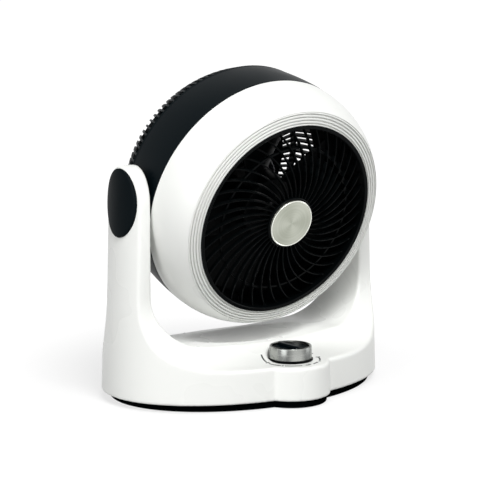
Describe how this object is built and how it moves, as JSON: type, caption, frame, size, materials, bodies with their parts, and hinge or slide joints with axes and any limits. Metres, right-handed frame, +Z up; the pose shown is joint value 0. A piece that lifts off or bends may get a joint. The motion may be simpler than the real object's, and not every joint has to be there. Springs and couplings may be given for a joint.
{
  "type": "air circulator fan",
  "caption": "Desktop air circulator: a deep round head with a spiral front grille tilts between the arms of a U-shaped base that has a rotary speed knob on its front lobe.",
  "frame": {"origin": "on the floor under the middle of the object's bounding box", "axes": "+Z up; the fan blows towards -Y, so the speed knob is on the -Y side; +X is the right arm as seen from the front"},
  "size_m": [0.312, 0.2328, 0.3306],
  "materials": {
    "white_plastic": "glossy warm white",
    "dark_plastic": "semi-gloss blue-black",
    "black_plastic": "glossy black",
    "foot_rubber": "matt black",
    "grey_plastic": "matt grey",
    "knob_metal": "brushed, with a polished edge",
    "badge_metal": "spun satin silver",
    "screw_steel": "zinc plated",
    "motor_steel": "bare sheet steel",
    "winding_copper": "enamelled copper wire",
    "bearing_bronze": "sintered bronze"
  },
  "bodies": {
    "base": {"base_housing": "white_plastic", "base_cover": "black_plastic", "foot_front_left": "foot_rubber", "foot_front_right": "foot_rubber", "foot_rear_left": "foot_rubber", "foot_rear_right": "foot_rubber", "base_screw_1": "screw_steel", "base_screw_2": "screw_steel", "base_screw_3": "screw_steel", "base_screw_4": "screw_steel", "side_cap_left": "dark_plastic", "side_cap_right": "dark_plastic", "friction_washer_left": "grey_plastic", "friction_washer_right": "grey_plastic", "rotary_switch": "grey_plastic", "switch_nut": "screw_steel", "dial_bezel": "black_plastic", "run_capacitor": "grey_plastic", "cord_grommet": "foot_rubber"},
    "head": {"front_shell": "white_plastic", "front_ring": "white_plastic", "air_duct": "black_plastic", "rear_shell": "dark_plastic", "front_grille": "black_plastic", "hub_badge": "badge_metal", "rear_grille": "dark_plastic", "pivot_bolt_left": "screw_steel", "pivot_bolt_right": "screw_steel", "motor_rear_cover": "motor_steel", "motor_front_cover": "motor_steel", "motor_stator": "motor_steel", "winding_rear": "winding_copper", "winding_front": "winding_copper", "bearing_rear": "bearing_bronze", "bearing_front": "bearing_bronze", "motor_screw_1": "screw_steel", "motor_screw_2": "screw_steel", "motor_screw_3": "screw_steel", "motor_screw_4": "screw_steel"},
    "rotor": {"motor_shaft": "motor_steel", "motor_rotor": "motor_steel", "impeller": "black_plastic", "impeller_spinner": "black_plastic"},
    "knob": {"switch_spindle": "screw_steel", "knob_body": "knob_metal", "knob_insert": "dark_plastic"}
  },
  "joints": [
    {"name": "head_tilt", "type": "hinge", "parent": "base", "child": "head", "pos_m": [0, 0.00265, 0.203], "axis": [-1, 0, 0], "range_deg": [-3.3, 106.7]},
    {"name": "impeller_spin", "type": "hinge", "parent": "head", "child": "rotor", "pos_m": [0, 0.00265, 0.203], "axis": [0, -0.9578, -0.2874], "continuous": true},
    {"name": "speed_knob", "type": "hinge", "parent": "base", "child": "knob", "pos_m": [0, -0.07635, 0.05], "axis": [0, 0, -1], "range_deg": [0, 135]}
  ]
}
